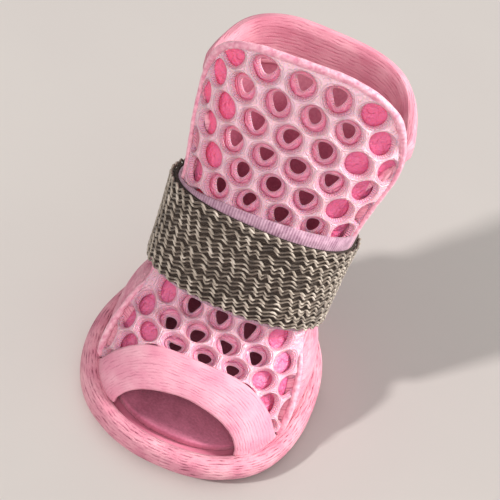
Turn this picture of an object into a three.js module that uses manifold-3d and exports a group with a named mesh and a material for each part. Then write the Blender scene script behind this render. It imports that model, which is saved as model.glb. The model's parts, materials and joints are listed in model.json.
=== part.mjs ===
// Open-toed mesh dog boot: a low rubber sole with a padded rim, a hollow paw-shaped upper that
// narrows to the ankle and widens again to the collar, and an elastic strap round the ankle.
// Millimetres, +Z up, toe towards -Y, standing on the floor at z = 0.
import * as THREE from "three";
import { mergeVertices } from "three/addons/utils/BufferGeometryUtils.js";
import Module from "manifold-3d";

const wasm = await Module();
wasm.setup();

// Driving dimensions
const UPPER_LENGTH = 57.4; // toe to heel of the upper where it meets the sole
const BALL_WIDTH = 48.6; // widest part of the upper, over the paw's ball
const ANKLE_WIDTH = 38.8; // under the strap
const CALF_WIDTH = 45.2; // widest part of the shaft
const COLLAR_WIDTH = 44.6; // across the collar
const INSTEP_HEIGHT = 27.0; // floor to the front of the ankle
const COLLAR_HEIGHT = 89.0; // floor to the top of the front section line
const HEEL_BACK = 25.8; // the heel's place behind the boot's middle
const SHAFT_LEAN = 19.5; // degrees that the ankle and shaft sections tip towards the heel

const WALL = 1.8; // upper: two mesh layers and the binding between them
const GAP = 0.3; // between pieces that meet
const AROUND = 56; // steps round every ring

const SOLE_TOP = 4.0;
const PLATE_BOTTOM = 1.3; // the sole plate, above its lugs
const ARCH_RISE = 0.7; // more room under the plate between forefoot and heel
const ARCH_AT = -1.0;
const ARCH_REACH = 9.0; // half the length of the arch along Y
const TOE_SPRING = 1.0; // lift of the sole at the very toe
const SPRING_START = -22.0; // the sole is flat behind this
const LUG_WIDTH = 3.2;
const LUG_PITCH = 5.4;
const LUG_MARGIN = 3.0; // lug ends to the sole plate's edge
const FOREFOOT_LUGS = { first: -23.0, count: 4 };
const HEEL_LUGS = { first: 9.0, count: 3 };

const RIM_WIDTH = { toe: 3.8, side: 3.4, heel: 2.7 };
const RIM_PROFILE_WIDTH = 3.5; // the width that the rim's section below is drawn at

const INSOLE_THICK = 1.6;
const INSOLE_INSET = 2.9; // insole's edge inside the upper's lower edge

const TOE_HOLE = { halfWidth: 14.2, height: 8.6, bottom: 5.2 };

const FEATHER = SOLE_TOP + GAP; // height of the upper's lower edge
const STRAP_WIDTH = 20.6;
const STRAP_THICK = 1.3;
const BACKING_THICK = 0.7;
const BACKING_ABOVE = 2.8; // backing that shows over the strap's top edge
const BACKING_BELOW = 0.6;
const STRAP_END = { thick: 1.0, halfAngle: 34, margin: 3.2 }; // the fastened end, at the back

// Sections of the upper, from the sole to the collar. Each is a rounded ring in the plane through
// the X direction and its front and back points (y, z), half as wide as "half", and squarer as
// "square" grows past 2. "station" is its distance up the wall.
const tipped = (depth) => [
  depth * Math.cos((SHAFT_LEAN * Math.PI) / 180),
  -depth * Math.sin((SHAFT_LEAN * Math.PI) / 180),
];
const behind = (front, depth) => front.map((value, k) => value + tipped(depth)[k]);
const TOE_FRONT = HEEL_BACK - UPPER_LENGTH;
const ankleFront = [-9.2, INSTEP_HEIGHT - 2.3];
const waistFront = [-1.5, 49.5];
const calfFront = [4.3, 68.5];
const collarFront = [10.0, COLLAR_HEIGHT];
const SECTIONS = [
  { station: 0, front: [TOE_FRONT, FEATHER], back: [HEEL_BACK, FEATHER], half: 0.49 * BALL_WIDTH, square: 2.3 },
  { station: 4.5, front: [-30.0, 8.5], back: [26.8, 8.7], half: 0.5 * BALL_WIDTH, square: 2.3 },
  { station: 11, front: [-25.5, 14.0], back: [25.6, 12.8], half: 0.486 * BALL_WIDTH, square: 2.3 },
  { station: 20, front: [-18.3, 20.0], back: [21.4, 16.2], half: 0.447 * BALL_WIDTH, square: 2.3 },
  { station: 31, front: ankleFront, back: [16.4, 17.6], half: 0.5 * ANKLE_WIDTH, square: 2.3 },
  { station: 55, front: waistFront, back: behind(waistFront, 26.6), half: 0.505 * ANKLE_WIDTH, square: 2.3 },
  { station: 75, front: calfFront, back: behind(calfFront, 28.0), half: 0.5 * CALF_WIDTH, square: 2.5 },
  { station: 97, front: collarFront, back: behind(collarFront, 27.2), half: 0.5 * COLLAR_WIDTH, square: 3.0 },
];
const ANKLE = SECTIONS[4].station;
const WAIST = SECTIONS[5].station;
const STRAP_TOP = WAIST;
const STRAP_BOTTOM = STRAP_TOP - STRAP_WIDTH;

// The collar edge, as stations above the waist: high at the front and back, dipping at the sides.
const COLLAR_EDGE = { front: 39.0, back: 39.5, side: 27.0, power: 3.8 };

const clamp01 = (value) => Math.min(1, Math.max(0, value));
const bent = (value, power) => Math.sign(value) * Math.abs(value) ** power;

// The lift of the sole towards the toe.
function spring(y) {
  const part = clamp01((SPRING_START - y) / (SPRING_START - TOE_FRONT));
  return TOE_SPRING * part * part;
}

// A section worked out at any station, by a smooth curve through the table's rows.
function sectionAt(station) {
  const last = SECTIONS.length - 1;
  let k = SECTIONS.findIndex((row) => row.station > station) - 1;
  if (k < 0) k = last - 1;
  const rows = [-1, 0, 1, 2].map((step) => SECTIONS[Math.min(last, Math.max(0, k + step))]);
  const s = rows.map((row) => row.station);
  const t = (station - s[1]) / (s[2] - s[1]);
  const curve = (read) => {
    const v = rows.map(read);
    const slope = (a, b) => (s[b] > s[a] ? ((v[b] - v[a]) / (s[b] - s[a])) * (s[2] - s[1]) : 0);
    const [m1, m2] = [slope(0, 2), slope(1, 3)];
    const [t2, t3] = [t * t, t * t * t];
    return (
      (2 * t3 - 3 * t2 + 1) * v[1] + (t3 - 2 * t2 + t) * m1 + (3 * t2 - 2 * t3) * v[2] + (t3 - t2) * m2
    );
  };
  return {
    front: [curve((row) => row.front[0]), curve((row) => row.front[1])],
    back: [curve((row) => row.back[0]), curve((row) => row.back[1])],
    half: curve((row) => row.half),
    square: curve((row) => row.square),
  };
}

// The upper's outer surface: theta 0 at the front, a quarter turn at +X.
function surfacePoint(theta, station) {
  const { front, back, half, square } = sectionAt(station);
  const across = bent(Math.sin(theta), 2 / square) * half;
  const ahead = bent(Math.cos(theta), 2 / square);
  const y = (front[0] + back[0]) / 2 + (ahead * (front[0] - back[0])) / 2;
  const z = (front[1] + back[1]) / 2 + (ahead * (front[1] - back[1])) / 2;
  const fade = clamp01((ANKLE - station) / (ANKLE - SECTIONS[0].station));
  return new THREE.Vector3(across, y, z + spring(y) * fade);
}

// The same surface moved out by "out" along its normal, or in where "out" is negative.
function wallPoint(theta, station, out) {
  const step = 0.02;
  const round = surfacePoint(theta + step, station).sub(surfacePoint(theta - step, station));
  const up = surfacePoint(theta, station + 0.3).sub(surfacePoint(theta, station));
  const point = surfacePoint(theta, station).addScaledVector(round.cross(up).normalize(), out);
  point.z = Math.max(point.z, FEATHER + spring(point.y));
  return point;
}

// The sole's outline grown by "out", drawn in towards its middle by "part", at height z.
function solePoint(theta, part, out, z) {
  const foot = SECTIONS[0];
  const middle = HEEL_BACK - UPPER_LENGTH / 2;
  const x = bent(Math.sin(theta), 2 / foot.square) * (foot.half + out) * part;
  const y = middle - bent(Math.cos(theta), 2 / foot.square) * (UPPER_LENGTH / 2 + out) * part;
  return new THREE.Vector3(x, y, z + spring(y));
}

// A closed body swept round the boot from angle "from" to "to": every profile point goes through
// place(theta, point). A full turn closes on itself, and a part turn gets two flat ends.
function sweep(profile, place, { from = 0, to = 2 * Math.PI, steps = AROUND, loop = true } = {}) {
  const full = to - from > 2 * Math.PI - 1e-6;
  const columns = full ? steps : steps + 1;
  const rows = profile.length;
  const vertices = [];
  for (let i = 0; i < columns; i += 1) {
    const theta = from + ((to - from) * i) / steps;
    for (const point of profile) vertices.push(...place(theta, point).toArray());
  }
  const faces = [];
  const at = (i, j) => (i % columns) * rows + (j % rows);
  for (let i = 0; i < steps; i += 1) {
    for (let j = 0; j < (loop ? rows : rows - 1); j += 1) {
      faces.push(at(i, j), at(i + 1, j), at(i + 1, j + 1));
      faces.push(at(i, j), at(i + 1, j + 1), at(i, j + 1));
    }
  }
  for (let j = 1; !full && j < rows - 1; j += 1) {
    faces.push(at(0, 0), at(0, j), at(0, j + 1));
    faces.push(at(steps, 0), at(steps, j + 1), at(steps, j));
  }
  const geometry = new THREE.BufferGeometry();
  geometry.setAttribute("position", new THREE.Float32BufferAttribute(vertices, 3));
  geometry.setIndex(faces);
  return geometry;
}

// A closed geometry as a solid that can be joined and cut.
function solid(geometry) {
  const bare = geometry.clone();
  bare.deleteAttribute("normal");
  bare.deleteAttribute("uv");
  const merged = mergeVertices(bare, 1e-4);
  const faces = [];
  for (let k = 0; k < merged.index.count; k += 3) {
    const [a, b, c] = [0, 1, 2].map((step) => merged.index.getX(k + step));
    if (a !== b && b !== c && c !== a) faces.push(a, b, c);
  }
  const vertProperties = new Float32Array(merged.attributes.position.array);
  const mesh = new wasm.Mesh({ numProp: 3, vertProperties, triVerts: new Uint32Array(faces) });
  return new wasm.Manifold(mesh);
}

function named(name, body, material) {
  const { vertProperties, triVerts } = body.getMesh();
  const geometry = new THREE.BufferGeometry();
  geometry.setAttribute("position", new THREE.Float32BufferAttribute(vertProperties, 3));
  geometry.setIndex(Array.from(triVerts));
  geometry.computeVertexNormals();
  const mesh = new THREE.Mesh(geometry, material);
  mesh.name = name;
  return mesh;
}

const cloth = (color, roughness) => new THREE.MeshStandardMaterial({ color, roughness, metalness: 0 });

// Outsole: a plate with an arch under the middle and bars across the forefoot and heel.
function outsole() {
  const arch = (y) => ARCH_RISE * Math.cos((clamp01(Math.abs(y - ARCH_AT) / ARCH_REACH) * Math.PI) / 2) ** 2;
  const rings = [0, 0.4, 0.7, 0.85, 1];
  const under = rings.map((part) => ({ part, z: PLATE_BOTTOM, arched: true }));
  const over = rings.map((part) => ({ part, z: SOLE_TOP, arched: false })).reverse();
  const plate = sweep(
    [...under, ...over],
    (theta, { part, z, arched }) => {
      const point = solePoint(theta, part, 0, z);
      if (arched) point.z += arch(point.y);
      return point;
    },
    { loop: false },
  );
  const field = sweep(
    [
      { part: 0, z: 0 },
      { part: 1, z: 0 },
      { part: 1, z: PLATE_BOTTOM + ARCH_RISE + 0.6 },
      { part: 0, z: PLATE_BOTTOM + ARCH_RISE + 0.6 },
    ],
    (theta, { part, z }) => solePoint(theta, part, -LUG_MARGIN, 0).setZ(z),
    { loop: false },
  );
  let body = solid(plate);
  for (const { first, count } of [FOREFOOT_LUGS, HEEL_LUGS]) {
    for (let k = 0; k < count; k += 1) {
      const bar = new THREE.BoxGeometry(BALL_WIDTH, LUG_WIDTH, 2 * SOLE_TOP);
      bar.translate(0, first + k * LUG_PITCH, 0);
      body = body.add(solid(field).intersect(solid(bar)));
    }
  }
  return body;
}

// Rim: the padded roll round the sole's edge. Its section is a rounded bar, thicker at the toe.
function soleRim() {
  const section = [
    { out: GAP, z: 1.0 },
    { out: GAP, z: 3.9 },
    { out: 1.3, z: 5.6 },
    { out: 2.1, z: 6.0 },
    { out: 3.0, z: 5.7 },
    { out: 3.7, z: 4.7 },
    { out: 3.9, z: 3.1 },
    { out: 3.6, z: 1.4 },
    { out: 2.8, z: 0.5 },
    { out: 1.2, z: 0.4 },
  ];
  const place = (theta, { out, z }) => {
    const end = Math.cos(theta) > 0 ? RIM_WIDTH.toe : RIM_WIDTH.heel;
    const width = RIM_WIDTH.side + (end - RIM_WIDTH.side) * Math.cos(theta) ** 2;
    return solePoint(theta, 1, GAP + ((out - GAP) * width) / RIM_PROFILE_WIDTH, z);
  };
  return solid(sweep(section.reverse(), place));
}

// Insole: a flat pad inside the upper, on the sole plate.
function insole() {
  const levels = [FEATHER, FEATHER + INSOLE_THICK];
  const rings = [0, 0.45, 0.8, 1];
  const profile = [
    ...rings.map((part) => ({ part, z: levels[0] })),
    ...rings.map((part) => ({ part, z: levels[1] })).reverse(),
  ];
  return solid(
    sweep(profile, (theta, { part, z }) => solePoint(theta, part, -INSOLE_INSET, z), { loop: false }),
  );
}

// Upper: one hollow wall from the sole to the collar, with the toe hole cut through its front.
function upper() {
  const lower = [0, 2.2, 4.5, 7.7, 11, 15.5, 20, 25.5, ANKLE, STRAP_BOTTOM, 39, 44.5, 50, WAIST, WAIST + 4];
  const shaftRows = 6;
  const rise = (theta) => {
    const end = Math.cos(theta) > 0 ? COLLAR_EDGE.front : COLLAR_EDGE.back;
    const dip = Math.abs(Math.sin(theta)) ** COLLAR_EDGE.power;
    return WAIST + end + (COLLAR_EDGE.side - end) * dip;
  };
  const rows = [
    ...lower.map((station) => ({ station, part: 0 })),
    ...Array.from({ length: shaftRows }, (_, k) => ({ station: WAIST + 4, part: (k + 1) / shaftRows })),
  ];
  const profile = [
    ...rows.map((row) => ({ ...row, out: 0 })),
    ...rows.map((row) => ({ ...row, out: -WALL })).reverse(),
  ];
  const place = (theta, { station, part, out }) =>
    wallPoint(theta, station + (rise(theta) - station) * part, out);
  const lens = new THREE.Shape();
  lens.absellipse(0, 0, TOE_HOLE.halfWidth, TOE_HOLE.height, 0, Math.PI);
  const hole = new THREE.ExtrudeGeometry(lens, { depth: 24, bevelEnabled: false, curveSegments: 20 });
  hole.rotateX(Math.PI / 2).translate(0, ankleFront[0] - 9, TOE_HOLE.bottom + TOE_SPRING / 2);
  return solid(sweep(profile, place)).subtract(solid(hole));
}

// A band round the ankle, from one station to another and one distance off the upper to another.
function ankleBand({ low, high, near, far, turn = {} }) {
  const count = 5;
  const stations = Array.from({ length: count }, (_, k) => low + ((high - low) * k) / (count - 1));
  const profile = [
    ...stations.map((station) => ({ station, out: far })),
    ...stations.map((station) => ({ station, out: near })).reverse(),
  ];
  return solid(sweep(profile, (theta, { station, out }) => wallPoint(theta, station, out), turn));
}

const strapNear = 2 * GAP + BACKING_THICK;
const endNear = strapNear + STRAP_THICK + GAP;
const endTurn = (STRAP_END.halfAngle * Math.PI) / 180;

const boot = new THREE.Group();
boot.add(
  named("outsole", outsole(), cloth(0xd98aa4, 0.8)),
  named("sole_rim", soleRim(), cloth(0xe9a3ba, 0.85)),
  named("insole", insole(), cloth(0xc4607f, 0.9)),
  named("upper", upper(), cloth(0xe6a6bd, 0.6)),
  named(
    "strap_backing",
    ankleBand({
      low: STRAP_BOTTOM - BACKING_BELOW,
      high: STRAP_TOP + BACKING_ABOVE,
      near: GAP,
      far: GAP + BACKING_THICK,
    }),
    cloth(0xb892a6, 0.85),
  ),
  named(
    "strap",
    ankleBand({ low: STRAP_BOTTOM, high: STRAP_TOP, near: strapNear, far: strapNear + STRAP_THICK }),
    cloth(0x8d8078, 0.9),
  ),
  named(
    "strap_end",
    ankleBand({
      low: STRAP_BOTTOM + STRAP_END.margin,
      high: STRAP_TOP - STRAP_END.margin,
      near: endNear,
      far: endNear + STRAP_END.thick,
      turn: { from: Math.PI - endTurn, to: Math.PI + endTurn, steps: 10 },
    }),
    cloth(0x6f655f, 0.9),
  ),
);

export default boot;
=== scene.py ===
import json
from functools import lru_cache
from math import atan2, copysign, cos, exp, pi, radians, sin, sqrt

import bmesh
import bpy
from mathutils import Matrix, Vector, noise

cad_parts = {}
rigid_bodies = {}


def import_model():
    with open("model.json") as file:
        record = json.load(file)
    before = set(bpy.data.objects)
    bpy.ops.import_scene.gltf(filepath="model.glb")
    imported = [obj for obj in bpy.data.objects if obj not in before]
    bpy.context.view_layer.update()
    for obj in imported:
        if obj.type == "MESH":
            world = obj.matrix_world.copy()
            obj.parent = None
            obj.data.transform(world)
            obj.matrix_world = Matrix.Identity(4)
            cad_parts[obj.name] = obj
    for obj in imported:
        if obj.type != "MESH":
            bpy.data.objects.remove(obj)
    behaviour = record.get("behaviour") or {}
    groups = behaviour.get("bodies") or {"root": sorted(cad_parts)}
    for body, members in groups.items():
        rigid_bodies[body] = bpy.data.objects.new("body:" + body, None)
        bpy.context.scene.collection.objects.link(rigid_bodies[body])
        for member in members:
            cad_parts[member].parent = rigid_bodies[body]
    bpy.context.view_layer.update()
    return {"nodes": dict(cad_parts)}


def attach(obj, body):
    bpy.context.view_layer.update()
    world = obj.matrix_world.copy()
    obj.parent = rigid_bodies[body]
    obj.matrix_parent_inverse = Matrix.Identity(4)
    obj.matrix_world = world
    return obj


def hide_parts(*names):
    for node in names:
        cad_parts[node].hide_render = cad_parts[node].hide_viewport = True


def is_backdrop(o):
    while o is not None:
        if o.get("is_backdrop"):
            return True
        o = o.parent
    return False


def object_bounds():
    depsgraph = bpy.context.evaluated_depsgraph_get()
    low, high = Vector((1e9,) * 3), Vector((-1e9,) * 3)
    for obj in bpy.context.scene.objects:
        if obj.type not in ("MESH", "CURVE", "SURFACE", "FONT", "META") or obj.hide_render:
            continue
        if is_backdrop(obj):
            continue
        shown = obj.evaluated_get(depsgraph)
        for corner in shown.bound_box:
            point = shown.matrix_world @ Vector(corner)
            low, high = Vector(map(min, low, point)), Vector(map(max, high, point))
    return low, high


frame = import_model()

# ---------------------------------------------------------------------------------------------
# Outsole. Moulded rubber plate with an arch and cross bars, from the frame itself: it is hidden
# by the rim, so only its edge and bars show. Matt pink rubber with a fine mould grain.
MM = 0.001


def linear(hex_colour):
    """An sRGB hex colour as the linear values that a shader wants."""
    values = [int(hex_colour[k : k + 2], 16) / 255 for k in (1, 3, 5)]
    return [v / 12.92 if v <= 0.04045 else ((v + 0.055) / 1.055) ** 2.4 for v in values] + [1.0]


def wire(node, **inputs):
    """A node's inputs, by name or as i0, i1 and so on. A value is set, a socket is linked, and a
    node is linked by its first output."""
    for key, value in inputs.items():
        socket = node.inputs[int(key[1:]) if key[1:].isdigit() else key.replace("_", " ")]
        if isinstance(value, bpy.types.Node):
            value = value.outputs[0]
        if isinstance(value, bpy.types.NodeSocket):
            node.id_data.links.new(value, socket)
        else:
            socket.default_value = value


def add(tree, kind, settings=None, stops=(), **inputs):
    """One node of a material: its settings, its (place, hex colour) stops and its inputs."""
    made = tree.nodes.new(kind)
    for key, value in (settings or {}).items():
        setattr(made, key, value)
    for k, (position, colour) in enumerate(stops):
        elements = made.color_ramp.elements
        element = elements[k] if k < 2 else elements.new(position)
        element.position, element.color = position, linear(colour)
    wire(made, **inputs)
    return made


def new_material(name, **surface):
    """A material with a Principled surface, and the surface's node to build on."""
    material = bpy.data.materials.new(name)
    material.use_nodes = True
    tree = material.node_tree
    shader = tree.nodes["Principled BSDF"]
    wire(shader, **surface)
    return material, tree, shader


# Moulded rubber: dull, with a mould grain that breaks up its highlight and faintly cloudy colour.
rubber, tree, shader = new_material("moulded matt pink rubber", Roughness=0.7, IOR=1.5)
place = add(tree, "ShaderNodeTexCoord").outputs["Object"]
grain = add(tree, "ShaderNodeTexNoise", Vector=place, Scale=1.0 / (0.5 * MM), Detail=4.0)
cloudy = add(tree, "ShaderNodeTexNoise", Vector=place, Scale=1.0 / (9 * MM), Detail=3.0)
colour = add(tree, "ShaderNodeValToRGB", stops=((0.3, "#b8607c"), (0.7, "#cf7b95")), Fac=cloudy)
dents = add(tree, "ShaderNodeBump", Height=grain, Distance=0.06 * MM)
wire(shader, Base_Color=colour, Normal=dents)
outsole = frame["nodes"]["outsole"]
outsole.data.materials.clear()
outsole.data.materials.append(rubber)

# ---------------------------------------------------------------------------------------------
# Rim. A padded roll covered in ribbed knitted tape, sewn round the edge of the sole. The ribs run
# along the tape and wander a little; it is fuller at the toe and slimmer at the heel.
SOLE_FRONT, SOLE_BACK, SOLE_HALF, SOLE_SQUARE = -31.6, 25.8, 23.8, 2.3  # mm, the upper's lower edge
SPRING_START, TOE_SPRING = -22.0, 1.0  # where the toe starts to rise, and how far it does
RIM_TOE, RIM_SIDE, RIM_HEEL = 4.3, 4.1, 3.2  # how far the roll stands out from the upper
RIM_DIP, RIM_DIP_AT, RIM_DIP_HALF = 0.5, radians(245), radians(22)  # it is slimmer behind one side
RIM_TOP, RIM_BOTTOM = 6.2, 0.35
RIM_TUCK, RIM_SHIFT = 0.3, 0.1  # wider by this much each way, and moved in to close the joint
RIM_FULL = 0.85  # below 1 its section is squarer than an ellipse
RIM_PUFF, RIM_PUFF_SIZE = 0.25, 9.0  # unevenness of its filling, and how far apart its lumps lie
RIM_LENGTH, RIM_GIRTH = 175.0, 18.0
RIB_PITCH = 0.78
WAVE_PERIOD = 0.314  # between two bands of the wave texture at a scale of 1


def bent(value, power):
    """A power that keeps the value's sign."""
    return abs(value) ** power * (1 if value >= 0 else -1)


def rounded(angle, square):
    """A point of the rounded ring: how far across (+X) and how far ahead (toe), from -1 to 1."""
    size = (abs(sin(angle)) ** square + abs(cos(angle)) ** square) ** (-1 / square)
    return sin(angle) * size, cos(angle) * size


def spring(y):
    """How far the toe's upward curve lifts the sole and the upper's edge."""
    part = min(1.0, max(0.0, (SPRING_START - y) / (SPRING_START - SOLE_FRONT)))
    return TOE_SPRING * part * part


def sole_edge(angle, out):
    """The sole's outline on the floor, grown by "out" mm."""
    across, ahead = rounded(angle, SOLE_SQUARE)
    length = (SOLE_BACK - SOLE_FRONT) / 2 + out
    return Vector((across * (SOLE_HALF + out), (SOLE_BACK + SOLE_FRONT) / 2 - ahead * length, 0))


def flat_sheet(columns, rows):
    """A flat sheet from (0, 0) to (1, 1), facing up, to be laid on a form."""
    sheet = bmesh.new()
    shift = Matrix.Translation((0.5, 0.5, 0))
    bmesh.ops.create_grid(sheet, x_segments=columns, y_segments=rows, size=0.5, matrix=shift)
    return sheet


def lay(sheet, lay_point, size, relief=None):
    """Lays a flat sheet of a size in mm on a form. Its flat place is kept as the UV map "cloth", and
    the height of its ribs, if it has them, as the attribute "relief"."""
    uv = sheet.loops.layers.uv.new("cloth")
    height = sheet.verts.layers.float.new("relief") if relief else None
    for face in sheet.faces:
        face.smooth = True
        for loop in face.loops:
            loop[uv].uv = loop.vert.co.x * size[0], loop.vert.co.y * size[1]
    for vert in sheet.verts:
        place = list(vert.co.xy)
        if relief:
            vert[height] = relief(place[0] * size[0])
            place.append(vert[height])
        vert.co = lay_point(*place) * MM
    return sheet


def close_ring(sheet):
    """Joins the two ends of a sheet that is laid all the way round."""
    bmesh.ops.remove_doubles(sheet, verts=sheet.verts, dist=0.001 * MM)


def make_piece(name, sheet, material):
    """Turns a bmesh into an object of its own, of one material."""
    mesh = bpy.data.meshes.new(name)
    sheet.to_mesh(mesh)
    sheet.free()
    mesh.materials.append(material)
    piece = bpy.data.objects.new(name, mesh)
    bpy.context.scene.collection.objects.link(piece)
    return piece


def ribbed_cloth(name, groove_shade, body, top, pitch=RIB_PITCH, depth=0.2, contrast=0.36):
    """Rib-knitted polyester: matt, with short wavy grooves between its ribs. The grooves are painted darker
    as painted shade, so that the ribs' tops read paler, under a random pale fuzz."""
    material, tree, shader = new_material(
        name, Roughness=0.8, IOR=1.45, Sheen_Weight=0.08, Sheen_Roughness=0.5
    )
    cloth = add(tree, "ShaderNodeUVMap", {"uv_map": "cloth"})
    waves = add(
        tree, "ShaderNodeTexWave", {"wave_type": "BANDS", "bands_direction": "Y"},
        Vector=cloth, Scale=WAVE_PERIOD / pitch, Distortion=4.2, Detail=2.0, Detail_Scale=0.85,
    ).outputs["Fac"]
    long_way = add(tree, "ShaderNodeMapping", Vector=cloth, Scale=(0.42, 1.5, 1.0))
    breaks = add(tree, "ShaderNodeTexNoise", Vector=long_way, Scale=1.0, Detail=2.0)
    breaks = add(tree, "ShaderNodeMapRange", Value=breaks, i1=0.44, i2=0.68)
    low = add(tree, "ShaderNodeMapRange", Value=waves, i1=0.5, i2=0.05)
    grooves = add(tree, "ShaderNodeMath", {"operation": "MULTIPLY"}, i0=low, i1=breaks)
    fuzz = add(tree, "ShaderNodeTexNoise", Vector=cloth, Scale=5.5, Detail=4.0, Roughness=0.65)
    patches = add(tree, "ShaderNodeTexNoise", Vector=cloth, Scale=0.16, Detail=3.0)
    pale = add(tree, "ShaderNodeMath", {"operation": "MULTIPLY_ADD"}, i0=fuzz, i1=0.5, i2=patches)
    # painted shade: the tone is darker in the grooves between the ribs
    tone = add(tree, "ShaderNodeMath", {"operation": "MULTIPLY_ADD"}, i0=grooves, i1=-contrast, i2=pale)
    colour = add(tree, "ShaderNodeValToRGB", stops=((0.28, groove_shade), (0.62, body), (0.95, top)), Fac=tone)
    height = add(tree, "ShaderNodeMath", {"operation": "MULTIPLY_ADD"}, i0=waves, i1=0.22, i2=0.0)
    height = add(tree, "ShaderNodeMath", {"operation": "MULTIPLY_ADD"}, i0=grooves, i1=-1.0, i2=height)
    height = add(tree, "ShaderNodeMath", {"operation": "MULTIPLY_ADD"}, i0=fuzz, i1=0.7, i2=height)
    dents = add(tree, "ShaderNodeBump", Height=height, Distance=depth * MM)
    wire(shader, Base_Color=colour, Normal=dents)
    return material


def rim_point(u, v):
    """u runs round the sole from the toe, and v round the roll."""
    angle, turn = 2 * pi * u, 2 * pi * v
    end = RIM_TOE if cos(angle) > 0 else RIM_HEEL
    width = RIM_SIDE + (end - RIM_SIDE) * cos(angle) ** 2
    width *= 1 - RIM_DIP * exp(-(((angle - RIM_DIP_AT) / RIM_DIP_HALF) ** 2))
    reach = width / 2 + RIM_TUCK
    tall = (RIM_TOP - RIM_BOTTOM) / 2
    point = sole_edge(angle, width / 2 - RIM_SHIFT + reach * bent(-cos(turn), RIM_FULL))
    puff = RIM_PUFF * noise.noise(point / RIM_PUFF_SIZE)
    point.z = (RIM_TOP + RIM_BOTTOM) / 2 + tall * bent(-sin(turn), RIM_FULL) + spring(point.y)
    point.z += puff * (v > 0.5)
    return point


rim_cloth = ribbed_cloth("ribbed knitted tape, rose", "#94405c", "#ca7d94", "#e6a9b7")
sheet = lay(flat_sheet(200, 40), rim_point, (RIM_LENGTH, RIM_GIRTH))
close_ring(sheet)
sole_rim = make_piece("rim_roll", sheet, rim_cloth)
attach(sole_rim, "root")
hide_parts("sole_rim")

# ---------------------------------------------------------------------------------------------
# Insole. A thin pad of foam faced with brushed lining cloth, glued to the plate inside the upper;
# its front edge shows in the toe hole.
INSOLE_LOW, INSOLE_HIGH = 4.35, 5.85
INSOLE_INSET, INSOLE_ROUND = 2.2, 0.5
# Painted shade: the lining is painted darker low in the boot and paler towards the collar.
LINING_STOPS = (0.25, "#8c405b"), (0.52, "#c26d8a"), (0.95, "#f4b8ca")  # it fades towards the collar

# Brushed knit: wholly matt, its nap paler on raised fibres, with painted shade that makes it deep rose low
# down in the boot and paler towards the collar.
lining, tree, shader = new_material("brushed rose lining cloth", Roughness=0.95, Sheen_Weight=0.3)
place = add(tree, "ShaderNodeTexCoord").outputs["Object"]
nap = add(tree, "ShaderNodeTexNoise", Vector=place, Scale=1.0 / (0.6 * MM), Detail=5.0)
worn = add(tree, "ShaderNodeTexNoise", Vector=place, Scale=1.0 / (11 * MM), Detail=2.0)
both = add(tree, "ShaderNodeMath", {"operation": "MULTIPLY_ADD"}, i0=nap, i1=0.5, i2=worn)
high = add(tree, "ShaderNodeSeparateXYZ", Vector=place).outputs["Z"]
# painted shade: the tone grows paler with height, darker deep in the boot
painted_depth_shade = add(tree, "ShaderNodeMapRange", Value=high, i1=45 * MM, i2=80 * MM, i4=0.45)
tone = add(tree, "ShaderNodeMath", {"operation": "MULTIPLY_ADD"}, i0=both, i1=0.55, i2=painted_depth_shade)
colour = add(tree, "ShaderNodeValToRGB", stops=LINING_STOPS, Fac=tone)
dents = add(tree, "ShaderNodeBump", Height=nap, Distance=0.15 * MM)
wire(shader, Base_Color=colour, Normal=dents)

sheet = bmesh.new()
bmesh.ops.create_circle(sheet, cap_ends=True, segments=96, radius=1.0)
disc = sheet.faces[:]
for vert in sheet.verts:
    angle = atan2(vert.co.x, -vert.co.y)
    vert.co = sole_edge(angle, -INSOLE_INSET) * MM
    vert.co.z = (INSOLE_LOW + spring(vert.co.y / MM)) * MM
raised = bmesh.ops.extrude_face_region(sheet, geom=disc)["geom"]
upper_edge = [part for part in raised if isinstance(part, bmesh.types.BMVert)]
bmesh.ops.translate(sheet, verts=upper_edge, vec=(0, 0, (INSOLE_HIGH - INSOLE_LOW) * MM))
bmesh.ops.recalc_face_normals(sheet, faces=sheet.faces)
top_edges = [edge for edge in sheet.edges if all(vert in upper_edge for vert in edge.verts)]
bmesh.ops.bevel(
    sheet, geom=top_edges, offset=INSOLE_ROUND * MM, segments=3, profile=0.5, affect="EDGES",
    material=-1,
)
insole = make_piece("insole_pad", sheet, lining)
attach(insole, "root")
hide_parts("insole")

# ---------------------------------------------------------------------------------------------
# Upper, inner and outer mesh. Knitted spacer mesh with large round holes: a pale outer face and a
# hot pink inner face about 2 mm behind it, with smaller holes in line with the outer ones along
# the middle of the panel. It is cut as one panel for foot and shaft and sewn in under the piping.
SECTIONS = (  # station along the wall, front y and z, back y and z, half width, squareness, all mm
    (0.0, -31.6, 4.3, 25.8, 4.3, 23.8, 2.3),
    (4.5, -30.0, 8.5, 26.8, 8.7, 24.3, 2.3),
    (11.0, -25.5, 14.0, 25.6, 12.8, 23.6, 2.3),
    (20.0, -18.3, 20.0, 21.4, 16.2, 21.7, 2.3),
    (31.0, -9.2, 24.7, 16.4, 17.6, 19.4, 2.3),
    (55.0, -1.5, 49.5, 23.6, 40.6, 20.1, 2.3),
    (75.0, 4.3, 68.5, 30.7, 59.2, 23.5, 2.4),
    (97.0, 10.0, 89.0, 35.6, 79.9, 22.0, 3.4),
)
ANKLE, WAIST = 31.0, 55.0
EDGE_FRONT, EDGE_BACK, EDGE_SIDE, EDGE_POWER = 38.4, 38.5, 27.0, 3.8  # collar edge above the waist
SHAFT_TILT, FOOT_TILT = radians(19.5), radians(48)  # how the mesh's rows lean, shaft and foot
PITCH_FOOT, PITCH_WAIST, PITCH_COLLAR = 7.3, 7.7, 8.2  # between holes across the panel
ROW_FIRST, ROW_STEP, ROW_STEP_TOP = 12.0, 4.7, 6.5  # stations between rows of holes, foot and collar
CORNER_CUT, CORNER_POWER = 7.5, 7  # how far the mesh panel's top corners are rounded down
ASKEW = 1.7  # how far its top edge is tilted up on one side
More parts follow.
